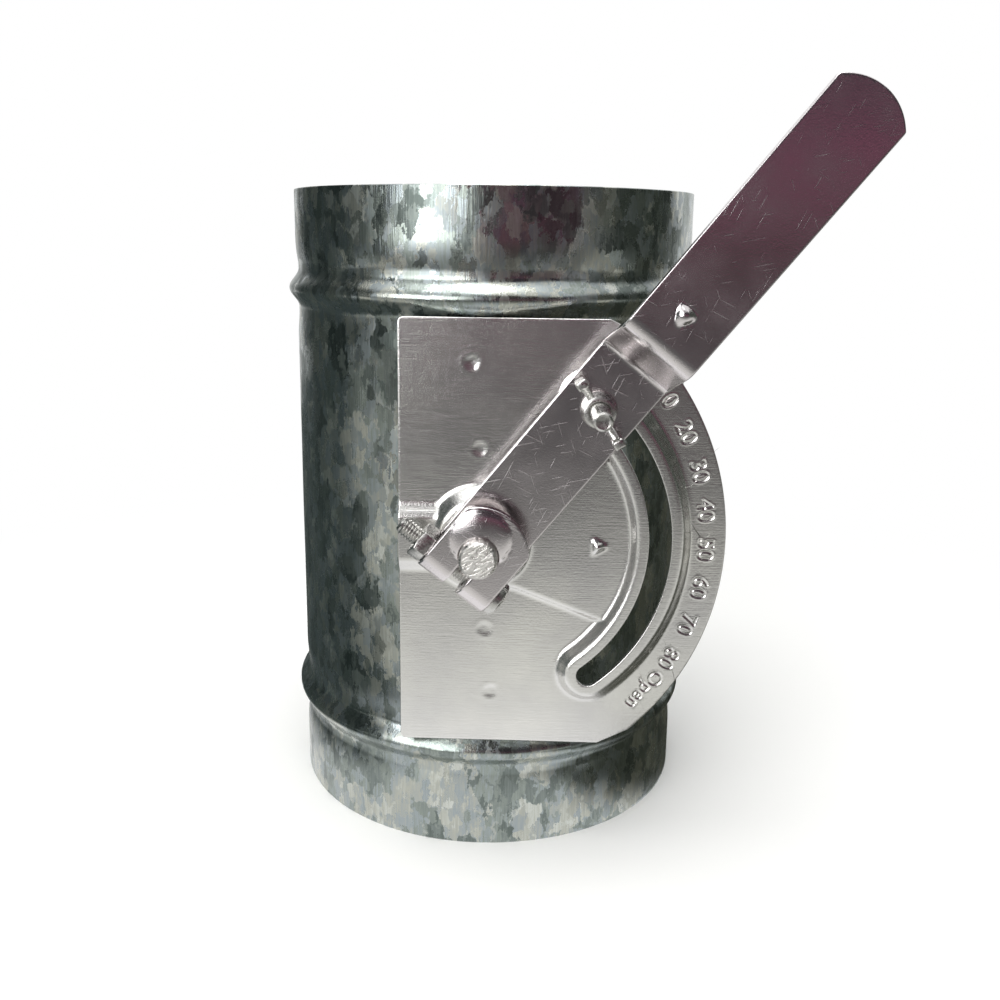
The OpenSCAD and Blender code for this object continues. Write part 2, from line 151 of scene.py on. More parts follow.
class StudioSettings(bpy.types.PropertyGroup):
    """Floor, lamps and camera"""
    floor: colour_property("Floor", "Pale studio floor", "#F4F4F2")
    window_power: bpy.props.FloatProperty(
        name="Window power", description="Power of the large soft lamp at the front left", unit="POWER",
        default=8.0)
    top_power: bpy.props.FloatProperty(
        name="Top power", description="Power of the soft lamp overhead", unit="POWER", default=6.0)
    fill: bpy.props.FloatProperty(
        name="Fill", description="Strength of the even light from all sides", default=0.75, min=0.0)


# Making and placing pieces

def linear(code):
    """An sRGB hex value as linear RGBA."""
    parts = [int(code[i:i + 2], 16) / 255 for i in (1, 3, 5)]
    return [c / 12.92 if c <= 0.04045 else ((c + 0.055) / 1.055) ** 2.4 for c in parts] + [1.0]


def step(t):
    """A smooth step from 0 to 1."""
    t = min(max(t, 0.0), 1.0)
    return t * t * (3 - 2 * t)


def turned(points, steps=96, closed=False, angle=2 * math.pi):
    """A shape spun round Z from its (radius, height) points in mm."""
    bm = bmesh.new()
    verts = [bm.verts.new((r, 0, z)) for r, z in points]
    edges = [bm.edges.new(pair) for pair in zip(verts, verts[1:])]
    if closed:
        edges.append(bm.edges.new((verts[-1], verts[0])))
    full = angle > 6.28
    bmesh.ops.spin(bm, geom=verts + edges, axis=(0, 0, 1), angle=angle, steps=steps, use_merge=full)
    bmesh.ops.remove_doubles(bm, verts=bm.verts, dist=1e-5)
    if not full:
        bmesh.ops.holes_fill(bm, edges=[e for e in bm.edges if e.is_boundary])
    bmesh.ops.recalc_face_normals(bm, faces=bm.faces)
    return bm


def shown(bm, name, body, material, replaced=(), place=None, modifiers=(), sharp=35):
    """Turns a bmesh in mm into a finished piece that rides on a body and stands for CAD nodes."""
    if place is not None:
        bmesh.ops.transform(bm, matrix=place, verts=bm.verts)
    bmesh.ops.scale(bm, vec=(MM, MM, MM), verts=bm.verts)
    mesh = bpy.data.meshes.new(name)
    bm.to_mesh(mesh)
    bm.free()
    piece = bpy.data.objects.new(name, mesh)
    bpy.context.scene.collection.objects.link(piece)
    for kind, settings in modifiers:
        modifier = piece.modifiers.new(kind.title(), kind)
        for key, value in settings.items():
            setattr(modifier, key, value)
    bake(piece)
    piece.data.polygons.foreach_set("use_smooth", [True] * len(piece.data.polygons))
    piece.data.set_sharp_from_angle(angle=math.radians(sharp))
    piece.data.materials.clear()
    piece.data.materials.append(material)
    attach(piece, body)
    if replaced:
        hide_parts(*replaced)
    return piece


def bake(piece):
    """Applies the piece's modifiers to its mesh."""
    if piece.modifiers:
        graph = bpy.context.evaluated_depsgraph_get()
        made = bpy.data.meshes.new_from_object(piece.evaluated_get(graph))
        piece.modifiers.clear()
        piece.data = made


def rounded(width, segments=2, angle=40):
    """Settings of a bevel modifier that rounds a piece's sharp edges."""
    return ("BEVEL", {"width": width * MM, "segments": segments, "limit_method": "ANGLE",
                      "angle_limit": math.radians(angle), "profile": 0.5, "use_clamp_overlap": False})


def carved(bm, tool, operation="DIFFERENCE"):
    """The bmesh with another one cut away from it, joined to it or kept in common."""
    objects = []
    for source in (bm, tool):
        mesh = bpy.data.meshes.new("carving")
        source.to_mesh(mesh)
        source.free()
        objects.append(bpy.data.objects.new("carving", mesh))
        bpy.context.scene.collection.objects.link(objects[-1])
    modifier = objects[0].modifiers.new("Carve", "BOOLEAN")
    modifier.operation = operation
    modifier.solver = "EXACT"
    modifier.object = objects[1]
    bake(objects[0])
    result = bmesh.new()
    result.from_mesh(objects[0].data)
    for thing in objects:
        bpy.data.objects.remove(thing)
    return result


def joined(*parts):
    """Several bmeshes as one."""
    whole = parts[0]
    for part in parts[1:]:
        mesh = bpy.data.meshes.new("part")
        part.to_mesh(mesh)
        part.free()
        whole.from_mesh(mesh)
        bpy.data.meshes.remove(mesh)
    return whole


def moved(bm, matrix):
    """The bmesh, moved by a matrix."""
    bmesh.ops.transform(bm, matrix=matrix, verts=bm.verts)
    return bm


def cut_blank(low, high, pitch, inside):
    """A flat blank of small quads. inside(x, y) is the distance to its outline in mm, negative outside."""
    bm = bmesh.new()
    counts = [max(2, round((b - a) / pitch)) for a, b in zip(low, high)]
    bmesh.ops.create_grid(bm, x_segments=counts[0], y_segments=counts[1], size=0.5)
    bmesh.ops.scale(bm, vec=(high[0] - low[0], high[1] - low[1], 1), verts=bm.verts)
    bmesh.ops.translate(bm, vec=((low[0] + high[0]) / 2, (low[1] + high[1]) / 2, 0), verts=bm.verts)
    on, out = set(), set()
    for v in bm.verts:
        x, y = v.co.x, v.co.y
        gap = inside(x, y)
        if abs(gap) <= pitch / 2:
            slope = Vector((inside(x + 0.01, y) - inside(x - 0.01, y),
                            inside(x, y + 0.01) - inside(x, y - 0.01))) / 0.02
            v.co.xy -= gap * slope / max(slope.length_squared, 0.25)
            on.add(v)
        elif gap < 0:
            out.add(v)
    for face in [f for f in bm.faces if any(v in out for v in f.verts)]:
        corners = list(face.verts)
        for a, b in ((0, 2), (1, 3)):
            if corners[a] in on and corners[b] in on:
                bmesh.ops.connect_verts(bm, verts=[corners[a], corners[b]])
                break
    lost = []
    for face in bm.faces:
        middle = face.calc_center_median()
        if any(v in out for v in face.verts) or (
                all(v in on for v in face.verts) and inside(middle.x, middle.y) < 0.05 * pitch):
            lost.append(face)
    bmesh.ops.delete(bm, geom=lost, context="FACES")
    rim = [v for v in bm.verts if v.is_boundary]
    bmesh.ops.remove_doubles(bm, verts=rim, dist=0.42 * pitch)
    bmesh.ops.dissolve_degenerate(bm, edges=bm.edges, dist=0.02 * pitch)
    bmesh.ops.recalc_face_normals(bm, faces=bm.faces)
    return bm


# Nodes and finishes

def add(tree, kind, inputs=None, stops=(), **settings):
    """Adds one shader node with its settings, its ramp's stops and its inputs, which are values or sockets."""
    new = tree.nodes.new("ShaderNode" + kind)
    for key, value in settings.items():
        setattr(new, key, value)
    for i, (at, value) in enumerate(stops):
        elements = new.color_ramp.elements
        stop = elements[i] if i < 2 else elements.new(at)
        stop.position = at
        stop.color = value if hasattr(value, "__len__") else (value, value, value, 1)
    for key, value in (inputs or {}).items():
        if isinstance(value, bpy.types.NodeSocket):
            tree.links.new(value, new.inputs[key])
        else:
            new.inputs[key].default_value = value
    return new


def finish_tree(name):
    """A new material, its node tree, its shader and the piece's coordinates."""
    material = bpy.data.materials.new(name)
    material.use_nodes = True
    tree = material.node_tree
    tree.nodes.clear()
    shader = add(tree, "BsdfPrincipled")
    add(tree, "OutputMaterial", {"Surface": shader.outputs[0]})
    place = add(tree, "TexCoord").outputs["Object"]
    return material, tree, shader, place


def stretched(tree, place, scale, turn=(0, 0, 0)):
    """The piece's coordinates in mm, turned and then squeezed by a scale for each axis."""
    spun = add(tree, "Mapping", {0: place, "Rotation": turn}).outputs[0]
    return add(tree, "Mapping", {0: spun, "Scale": [s / MM for s in scale]}).outputs[0]


def galvanised_spangle(colours):
    """Hot-dip galvanised sheet: crystals of zinc 2 to 8 mm wide, each with its own tilt, tone and gloss."""
    material, tree, shader, place = finish_tree("galvanised steel, spangled")
    # The crystals are longer along the rolled sheet and their edges are ragged, so the cells are bent by noise
    grain = stretched(tree, place, (1, 1, 0.62))
    ragged = add(tree, "TexNoise", {"Vector": grain, "Scale": 0.55, "Detail": 5, "Roughness": 0.62})
    bent = add(tree, "VectorMath", {0: ragged.outputs["Color"], 1: (0.5, 0.5, 0.5)}, operation="SUBTRACT")
    bent = add(tree, "VectorMath", {0: bent.outputs[0], 1: (5, 5, 5), 2: grain}, operation="MULTIPLY_ADD")
    large = add(tree, "TexVoronoi", {"Vector": bent.outputs[0], "Scale": 1 / 5.5})
    small = add(tree, "TexVoronoi", {"Vector": bent.outputs[0], "Scale": 1 / 2.3})
    pick = add(tree, "SeparateColor", {0: large.outputs["Color"]})
    flake = add(tree, "SeparateColor", {0: small.outputs["Color"]})
    blend = add(tree, "Math", {0: flake.outputs[0], 1: 0.42, 2: 0.0}, operation="MULTIPLY_ADD")
    tone = add(tree, "Math", {0: pick.outputs[0], 1: 0.58, 2: blend.outputs[0]}, operation="MULTIPLY_ADD")
    # Fine streaks along the sheet, 0.3 mm apart
    streak = add(tree, "TexNoise", {"Vector": stretched(tree, place, (1, 1, 0.06)), "Scale": 2.6, "Detail": 3})
    tone = add(tree, "Math", {0: streak.outputs[0], 1: 0.5, 2: tone.outputs[0]}, operation="MULTIPLY_ADD")
    tone = add(tree, "Math", {0: tone.outputs[0], 1: 0.25}, operation="SUBTRACT")
    colour = add(tree, "ValToRGB", {0: tone.outputs[0]}, stops=(
        (0.0, linear("#666F6B")), (1.0, linear(colours.spangle_light)), (0.25, linear(colours.spangle_dark)),
        (0.4, linear("#929A93")), (0.55, linear("#9EA7AA")), (0.75, linear("#B1B3A9"))))
    gloss = add(tree, "MapRange", {0: flake.outputs[1], 3: 0.2, 4: 0.36})
    shift = add(tree, "VectorMath", {0: large.outputs["Color"], 1: (0.5, 0.5, 0.5)}, operation="SUBTRACT")
    facing = add(tree, "NewGeometry")
    tilt = add(tree, "VectorMath", {0: shift.outputs[0], 1: (0.1, 0.1, 0.1), 2: facing.outputs["Normal"]},
               operation="MULTIPLY_ADD")
    level = add(tree, "VectorMath", {0: tilt.outputs[0]}, operation="NORMALIZE")
    bump = add(tree, "Bump", {"Height": streak.outputs[0], "Distance": 0.00003, "Strength": 1.0,
                              "Normal": level.outputs[0]})
    tree.links.new(colour.outputs[0], shader.inputs["Base Color"])
    tree.links.new(gloss.outputs[0], shader.inputs["Roughness"])
    tree.links.new(bump.outputs[0], shader.inputs["Normal"])
    shader.inputs["Metallic"].default_value = 1.0
    return material


def bright_zinc_plate(colours):
    """Bright zinc on pressed sheet: fine level brushing and a slight orange peel that glitters."""
    material, tree, shader, place = finish_tree("steel sheet, bright zinc plate")
    # Brushed lines 0.25 mm apart, some 20 mm long
    lines = add(tree, "TexNoise", {"Vector": stretched(tree, place, (0.05, 1, 1)), "Scale": 3.5, "Detail": 4,
                                   "Roughness": 0.6})
    peel = add(tree, "TexNoise", {"Vector": stretched(tree, place, (1, 1, 1)), "Scale": 2.2, "Detail": 3})
    cloud = add(tree, "TexNoise", {"Vector": stretched(tree, place, (1, 1, 1)), "Scale": 0.06, "Detail": 4})
    colour = add(tree, "ValToRGB", {0: cloud.outputs[0]}, stops=(
        (0.3, linear("#D5D4D3")), (0.7, linear(colours.plate))))
    rough = add(tree, "MapRange", {0: lines.outputs[0], 3: 0.17, 4: 0.3})
    height = add(tree, "Math", {0: peel.outputs[0], 1: 0.8, 2: lines.outputs[0]}, operation="MULTIPLY_ADD")
    bump = add(tree, "Bump", {"Height": height.outputs[0], "Distance": 0.00003, "Strength": 1.0})
    tree.links.new(colour.outputs[0], shader.inputs["Base Color"])
    tree.links.new(rough.outputs[0], shader.inputs["Roughness"])
    tree.links.new(bump.outputs[0], shader.inputs["Normal"])
    shader.inputs["Metallic"].default_value = 1.0
    return material


def scratched_zinc_strip(colours):
    """Bright zinc on rolled strip, handled and scratched: a soft mirror with hairlines and smudges."""
    material, tree, shader, place = finish_tree("steel strip, bright zinc plate, scratched")
    marks = None
    # Hairlines 0.15 mm wide and up to 20 mm long, in four directions about the lever's own
    for turn, scale, low in ((0.2, 2.6, 0.71), (1.1, 2.1, 0.72), (1.9, 2.4, 0.73), (2.7, 1.9, 0.72)):
        lines = add(tree, "TexNoise", {"Vector": stretched(tree, place, (0.06, 1, 1.6), (0, turn, 0)),
                                       "Scale": scale, "Detail": 1})
        fine = add(tree, "ValToRGB", {0: lines.outputs[0]}, stops=((low, 0.0), (low + 0.03, 1.0)))
        marks = fine.outputs[0] if marks is None else add(
            tree, "Math", {0: marks, 1: fine.outputs[0]}, operation="MAXIMUM").outputs[0]
    smudge = add(tree, "TexNoise", {"Vector": stretched(tree, place, (1, 1, 1)), "Scale": 0.09, "Detail": 6,
                                    "Roughness": 0.6})
    grit = add(tree, "TexNoise", {"Vector": stretched(tree, place, (1, 1, 1)), "Scale": 3.0, "Detail": 2})
    rough = add(tree, "MapRange", {0: smudge.outputs[0], 1: 0.3, 2: 0.7, 3: 0.13, 4: 0.26})
    rough = add(tree, "Math", {0: marks, 1: 0.14, 2: rough.outputs[0]}, operation="MULTIPLY_ADD")
    height = add(tree, "Math", {0: marks, 1: 0.25, 2: grit.outputs[0]}, operation="MULTIPLY_ADD")
    bump = add(tree, "Bump", {"Height": height.outputs[0], "Distance": 0.00002, "Strength": 1.0})
    tree.links.new(rough.outputs[0], shader.inputs["Roughness"])
    tree.links.new(bump.outputs[0], shader.inputs["Normal"])
    shader.inputs["Base Color"].default_value = linear(colours.lever)
    shader.inputs["Metallic"].default_value = 1.0
    return material


def sawn_bar(colours):
    """Drawn bar with a sawn end: a smooth side, and coarse level saw marks on the end face."""
    material, tree, shader, place = finish_tree("steel bar, zinc plate, sawn end")
    saw = add(tree, "TexNoise", {"Vector": stretched(tree, place, (0.35, 0.2, 1), (0, 0.5, 0)), "Scale": 1.9,
                                 "Detail": 4})
    rough = add(tree, "MapRange", {0: saw.outputs[0], 3: 0.16, 4: 0.42})
    bump = add(tree, "Bump", {"Height": saw.outputs[0], "Distance": 0.0004, "Strength": 0.8})
    tree.links.new(rough.outputs[0], shader.inputs["Roughness"])
    tree.links.new(bump.outputs[0], shader.inputs["Normal"])
    shader.inputs["Base Color"].default_value = linear(colours.bar)
    shader.inputs["Metallic"].default_value = 1.0
    return material


def zinc_hardware(colours):
    """Bright zinc plate on small hardware: glossy, with fine tool marks."""
    material, tree, shader, place = finish_tree("steel hardware, bright zinc plate")
    tool = add(tree, "TexNoise", {"Vector": stretched(tree, place, (1, 1, 1)), "Scale": 1.6, "Detail": 5})
    rough = add(tree, "MapRange", {0: tool.outputs[0], 1: 0.3, 2: 0.7, 3: 0.2, 4: 0.36})
    bump = add(tree, "Bump", {"Height": tool.outputs[0], "Distance": 0.00004, "Strength": 1.0})
    tree.links.new(rough.outputs[0], shader.inputs["Roughness"])
    tree.links.new(bump.outputs[0], shader.inputs["Normal"])
    shader.inputs["Base Color"].default_value = linear(colours.hardware)
    shader.inputs["Metallic"].default_value = 1.0
    return material


def moulded_nylon(colours):
    """Moulded natural nylon: waxy and slightly see-through, with a faint flow pattern."""
    material, tree, shader, place = finish_tree("nylon, moulded")
    flow = add(tree, "TexNoise", {"Vector": stretched(tree, place, (1, 1, 1)), "Scale": 0.3, "Detail": 4})
    colour = add(tree, "ValToRGB", {0: flow.outputs[0]}, stops=(
        (0.3, linear("#DBD5C2")), (0.7, linear(colours.nylon))))
    rough = add(tree, "MapRange", {0: flow.outputs[0], 3: 0.38, 4: 0.5})
    bump = add(tree, "Bump", {"Height": flow.outputs[0], "Distance": 0.00003, "Strength": 1.0})
    tree.links.new(colour.outputs[0], shader.inputs["Base Color"])
    tree.links.new(rough.outputs[0], shader.inputs["Roughness"])
    tree.links.new(bump.outputs[0], shader.inputs["Normal"])
    shader.inputs["IOR"].default_value = 1.53
    shader.inputs["Subsurface Weight"].default_value = 0.15
    shader.inputs["Subsurface Scale"].default_value = 0.001
    return material


def phosphated_spring(colours):
    """Phosphated spring steel: dark grey, dull and finely grained."""
    material, tree, shader, place = finish_tree("spring steel, phosphated")
    grain = add(tree, "TexNoise", {"Vector": stretched(tree, place, (1, 1, 1)), "Scale": 4.0, "Detail": 3})
    rough = add(tree, "MapRange", {0: grain.outputs[0], 3: 0.4, 4: 0.58})
    bump = add(tree, "Bump", {"Height": grain.outputs[0], "Distance": 0.00003, "Strength": 1.0})
    tree.links.new(rough.outputs[0], shader.inputs["Roughness"])
    tree.links.new(bump.outputs[0], shader.inputs["Normal"])
    shader.inputs["Base Color"].default_value = linear(colours.spring)
    shader.inputs["Metallic"].default_value = 1.0
    return material


FINISHES = {}


def finish(kind):
    """A finish by its function, made once."""
    if kind not in FINISHES:
        FINISHES[kind] = kind(bpy.context.scene.damper_colours)
    return FINISHES[kind]


# Pieces

class DAMPER_OT_sleeve(bpy.types.Operator):
    """Makes the rolled sleeve with its spigots, stop beads and lengthwise seam"""
    bl_idname = "damper.sleeve"
    bl_label = "Sleeve"

    def execute(self, context):
        sizes = context.scene.damper_sleeve
        length, wall = sizes.length / MM, sizes.wall / MM
        spigot, neck, body = sizes.spigot_radius / MM, 49.05, 49.4
        bead_at, half, height = sizes.bead_at / MM, sizes.bead_width / MM / 2, sizes.bead_height / MM

        def radius(e):
            """Outer radius at a distance from the nearer end: spigot, kink, bead and body."""
            r = spigot - (spigot - neck) * min(max((e - 11) / 6.4, 0), 1) ** 2
            if abs(e - bead_at) < half:
                r += height * (1 + math.cos(math.pi * (e - bead_at) / half)) / 2
            return r + (body - neck) * step((e - bead_at - half - 1) / 6)

        marks = [0.0, 0.15, 2, 4, 6, 8, 10]
        marks += [11 + 0.4 * i for i in range(17)]
        marks += [18 + 0.4 * i for i in range(int((bead_at + half + 8 - 18) / 0.4))]
        marks += [bead_at + half + 8 + 5 * i for i in range(20) if bead_at + half + 8 + 5 * i < length / 2]
        outer = [(radius(e) - (0.12 if e == 0 else 0), e) for e in marks]
        outer += [(r, length - e) for r, e in reversed(outer)]
        inner = [(r - wall + (0.24 if z in (0, length) else 0), z) for r, z in reversed(outer)]
        bm = turned(outer + inner, steps=288, closed=True)
        wave = sizes.unevenness / MM
        for v in bm.verts:
            flat = Vector((v.co.x, v.co.y, 0)).normalized()
            push = wave * (noise.noise(v.co * 0.035) - 0.9) + 0.4 * wave * noise.noise(v.co * 0.13)
            seam = math.atan2(v.co.x, v.co.y) * body
            push += 0.12 * math.exp(-(seam / 1.6) ** 2)
            v.co += flat * push
        shown(bm, "rolled_sleeve", "housing", finish(galvanised_spangle), ["sleeve"])
        return {"FINISHED"}


def slot_distance(x, y, radius=38.6, low=-52.0, high=53.04):
    """Distance in mm of a point on the dial from the slot's centre line."""
    angle = min(max(math.degrees(math.atan2(y, x)), low), high)
    end = Vector((math.cos(math.radians(angle)), math.sin(math.radians(angle)))) * radius
    return (Vector((x, y)) - end).length


def plate_edge(x, y):
    """Distance in mm inside the dial plate's outline and outside its slot."""
    left, half, centre, arc = -18.2, 48.0, -7.93, 60.93
    edge = min(x - left, half - abs(y), arc - math.hypot(x - centre, y))
    if x < left + 1.2 and abs(y) > half - 1.2:
        edge = 1.2 - math.hypot(x - left - 1.2, abs(y) - half + 1.2)
    chamfer = ((26.6 - x) + 2 * (half - abs(y))) / math.sqrt(5)
    return min(edge, chamfer, slot_distance(x, y) - 2.4)


def cube_corner(x, y, height, turn):
    """Height of a pressed three-sided pip with slightly rounded ridges."""
    falls = [x * math.cos(turn + k * 2.0944) + y * math.sin(turn + k * 2.0944) for k in range(3)]
    steepest = math.log(sum(math.exp(6 * f) for f in falls)) / 6
    return max(0.0, height - 1.25 * steepest)


WELDS = ((-2.4, 38.5), (-0.5, 20), (0.8, -21), (2.2, -36))


def plate_form(x, y, press=3.0):
    """Height in mm of the pressed forms on the dial plate's face."""
    centre = math.hypot(x, y)
    dome = press * step((12.6 - centre) / 3.9)
    rim = press * step((7.25 - slot_distance(x, y)) / 2.8)
    crease = 11 + max(x - 7, 0) * 0.384 - abs(y)
    fan = 1.0 * step(crease / 1.3 + 0.5) * step((36 - centre) / 1.5) * step((x + 3) / 3)
    rib = 1.6 * step((8.0 - abs(y)) / 3.4) * step((4 - x) / 4)
    forms = [h for h in (dome, rim, fan, rib) if h > 0]
    height = sum(h ** 5 for h in forms) ** 0.2 if forms else 0.0
    for spot in WELDS:
        r = math.hypot(x - spot[0], y - spot[1])
        if r < 3:
            height += 0.05 * math.exp(-((r - 1.9) / 0.35) ** 2) - 0.16 * step((1.85 - r) / 0.9)
            height += 0.1 * noise.noise(Vector((x, y, 3)) * 0.9) * step((2.0 - r) / 0.5)
    height += cube_corner(x - 25.3, y + 1.1, 1.6, math.pi)
    height += 0.05 * noise.noise(Vector((x, y, 0)) * 0.045) + 0.012 * noise.noise(Vector((x, y, 5)) * 0.2)
    return height


def scale_marks(sizes):
    """The words of the scale with the angle of each one's centre in radians."""
    words = ["Open"] + [str(n) for n in range(80, 0, -10)] + ["Closed"]
    marks = [(word, sizes.open_angle + i * sizes.digit_step) for i, word in enumerate(words)]
    # "Closed" is wider than a number, so it stands a little further on
    return marks[:-1] + [(words[-1], marks[-1][1] + sizes.digit_step / 6)]


def stamp(sizes):
    """The scale's words as flat faces in mm on the dial, and points along their outlines."""
    whole = bmesh.new()
    for word, angle in scale_marks(sizes):
        curve = bpy.data.curves.new(word, "FONT")
        curve.body = word
        curve.align_x = "CENTER"
        curve.align_y = "CENTER"
        curve.size = sizes.digit_height / MM / 0.73 * (0.9 if word.isalpha() else 1)
        curve.resolution_u = 6
        curve.space_character = 1.06
        text = bpy.data.objects.new(word, curve)
        bpy.context.scene.collection.objects.link(text)
        graph = bpy.context.evaluated_depsgraph_get()
        mesh = bpy.data.meshes.new_from_object(text.evaluated_get(graph))
        bpy.data.objects.remove(text)
        part = bmesh.new()
        part.from_mesh(mesh)
        # The words run clockwise along the edge, 4.3 mm inside it, with their tops outwards
        reach = -7.93 * math.cos(angle) + math.sqrt(60.93 ** 2 - (7.93 * math.sin(angle)) ** 2) - 4.35
        turn = math.atan2(math.sin(angle) * reach, math.cos(angle) * reach + 7.93) - math.pi / 2
        spot = Matrix.Translation((reach * math.cos(angle), reach * math.sin(angle), 0))
        moved(part, spot @ Matrix.Rotation(turn, 4, "Z"))
        whole = joined(whole, part)
    tree = BVHTree.FromBMesh(whole)
    points = []
    for edge in whole.edges:
        if edge.is_boundary:
            a, b = (v.co for v in edge.verts)
            parts = max(1, math.ceil((b - a).length / 0.05))
            points += [a.lerp(b, i / parts) for i in range(parts)]
    near = kdtree.KDTree(len(points))
    for i, point in enumerate(points):
        near.insert(point, i)
    near.balance()
    whole.free()
    return tree, near


class DAMPER_OT_dial_plate(bpy.types.Operator):
    """Presses the dial plate: dome, rib, fan, slot rim, pip, weld marks and stamped scale"""
    bl_idname = "damper.dial_plate"
    bl_label = "Dial plate"

    def execute(self, context):
        sizes = context.scene.damper_dial
        faces, outline = stamp(sizes)
        bm = cut_blank((-18.2, -48), (53, 48), 0.55, plate_edge)
        close = [f for f in bm.faces if outline.find(f.calc_center_median())[2] < 0.75]
        edges = {e for f in close for e in f.edges}
        bmesh.ops.subdivide_edges(bm, edges=list(edges), cuts=2, use_grid_fill=True)
        depth = sizes.digit_depth / MM
        for v in bm.verts:
            x, y = v.co.x, v.co.y
            height = plate_form(x, y, sizes.press_height / MM)
            gap = outline.find(Vector((x, y, 0)))[2]
            if gap < 0.6:
                sunk = faces.ray_cast(Vector((x, y, 1)), Vector((0, 0, -1)))[0] is not None
                inner = gap if sunk else -gap
                height -= depth * (step((inner + 0.14) / 0.32) - 0.3 * math.exp(-((inner + 0.26) / 0.15) ** 2))
            v.co.z = 50.65 + height
        shown(bm, "pressed_dial", "housing", finish(bright_zinc_plate), ["dial_plate"],
              ON_DIAL, [("SOLIDIFY", {"thickness": sizes.thickness, "offset": -1}), rounded(0.18, 2, 72)],
              sharp=80)
        return {"FINISHED"}


class LeverPath:
    """The lever's strip seen from its edge, as a path of its middle from the flap round the fold to the tip"""

    def __init__(self, reach):
        self.parts = []
        self.total = 0.0
        self.line((10.4, 62.4), (-6.2, 62.4))
        self.bend((-6.2, 59.1), 3.3, 90, 270)
        self.base_start = self.total
        self.line((-6.2, 55.8), (49.3, 55.8))
        self.bend((49.3, 58.3), 2.5, -90, -30)
        low = Vector((49.3 + 2.5 * math.cos(math.radians(30)), 58.3 - 1.25))
        high = low + Vector((math.cos(math.radians(60)), math.sin(math.radians(60)))) * 7.506
        self.line(low, high)
        middle = high - Vector((math.cos(math.radians(150)), math.sin(math.radians(150)))) * 2.5
        self.bend(middle, 2.5, 150, 90)
        self.handle_start = self.total
        self.handle_at = middle[0]
        self.line((middle[0], 64.8), (reach, 64.8))

    def line(self, a, b):
        a, b = Vector(a), Vector(b)
        self.parts.append((self.total, "line", a, (b - a).normalized()))
        self.total += (b - a).length

    def bend(self, centre, radius, start, end):
        self.parts.append((self.total, "bend", Vector(centre), (radius, math.radians(start), math.radians(end))))
        self.total += radius * abs(math.radians(end - start))

    def at(self, s):
        """The point at a length along the path, and the direction of the strip's front."""
        start, kind, a, b = next(p for p in reversed(self.parts) if s >= p[0] - 1e-9 or p is self.parts[0])
        if kind == "line":
            return a + b * (s - start), Vector((-b[1], b[0]))
        radius, first, last = b
        sign = 1 if last > first else -1
        angle = first + sign * (s - start) / radius
        out = Vector((math.cos(angle), math.sin(angle)))
        return a + out * radius, -sign * out


class DAMPER_OT_lever(bpy.types.Operator):
    """Cuts, presses and folds the lever's strip"""
    bl_idname = "damper.lever"
    bl_label = "Lever"

    def execute(self, context):
        sizes = context.scene.damper_lever
        half, reach = sizes.width / MM / 2, sizes.reach / MM
        path = LeverPath(reach)
        flap_bore, base_bore = 10.4, path.base_start + 6.2
        stud = base_bore + 38.6
        tip = path.total - 11.5

        def edge(s, t):
            gap = half - abs(t)
            if s < flap_bore:
                gap = min(gap, 10.4 - math.hypot(s - flap_bore, t))
            if s > tip:
                gap = min(gap, 11.5 - math.hypot(s - tip, t))
            gap = min(gap, math.hypot(s - flap_bore, t) - 4.03, math.hypot(s - base_bore, t) - 4.03,
                      math.hypot(s - stud, t) - 2.2)
            if flap_bore < s < base_bore:
                gap = min(gap, abs(t) - 1.8)
            return gap

        bm = cut_blank((0, -half), (path.total, half), 0.5, edge)
        # The bulge lies 3.6 mm above the shaft and 0.4 mm to its right, turned into the strip's directions
        c, s_ = math.cos(LEVER_ANGLE), math.sin(LEVER_ANGLE)
        bulge_at = (0.4 * c + 3.6 * s_, -0.4 * s_ + 3.6 * c)
        pip_s = path.handle_start + 63.8 - path.handle_at
        for v in bm.verts:
            s, t = v.co.x, v.co.y
            h = 0.0
            if s < path.base_start - 6:
                r = math.hypot(flap_bore - s - bulge_at[0], t - bulge_at[1]) / 6.0
                h -= sizes.bulge / MM * math.sqrt(max(0.0, 1 - r * r))
            h += cube_corner(s - pip_s, t - 0.6, 1.6, 0.0)
            h += 0.035 * noise.noise(Vector((s, t, 2)) * 0.06)
            point, front = path.at(s)
            place = point + front * h
            v.co = (place[0], t, place[1])
        bmesh.ops.recalc_face_normals(bm, faces=bm.faces)
        shown(bm, "folded_lever", "damper", finish(scratched_zinc_strip), ["lever"],
              ON_LEVER, [("SOLIDIFY", {"thickness": sizes.thickness, "offset": 0}), rounded(0.2, 2, 72)], sharp=80)
        return {"FINISHED"}


def screw_thread(length, radius, pitch):
    """A screw's thread in mm along Z: a core with a chamfered end and one helical ridge."""
    depth = 0.55 * pitch
    core = turned([(0, 0), (radius - depth, 0), (radius - depth, length - 0.4), (radius - depth - 0.4, length),
                   (0, length)], steps=32)
    ridge = bmesh.new()
    corners = [ridge.verts.new(p) for p in ((radius - depth - 0.05, 0, 0), (radius, 0, pitch * 0.42),
                                            (radius, 0, pitch * 0.5), (radius - depth - 0.05, 0, pitch * 0.92))]
    edges = [ridge.edges.new((corners[i - 1], corners[i])) for i in range(4)]
    turns = int((length - 0.5) / pitch) - 1
    bmesh.ops.spin(ridge, geom=corners + edges, axis=(0, 0, 1), dvec=(0, 0, pitch / 24),
                   angle=2 * math.pi * turns, steps=24 * turns)
    bmesh.ops.holes_fill(ridge, edges=[e for e in ridge.edges if e.is_boundary])
    bmesh.ops.recalc_face_normals(ridge, faces=ridge.faces)
    return joined(core, ridge)


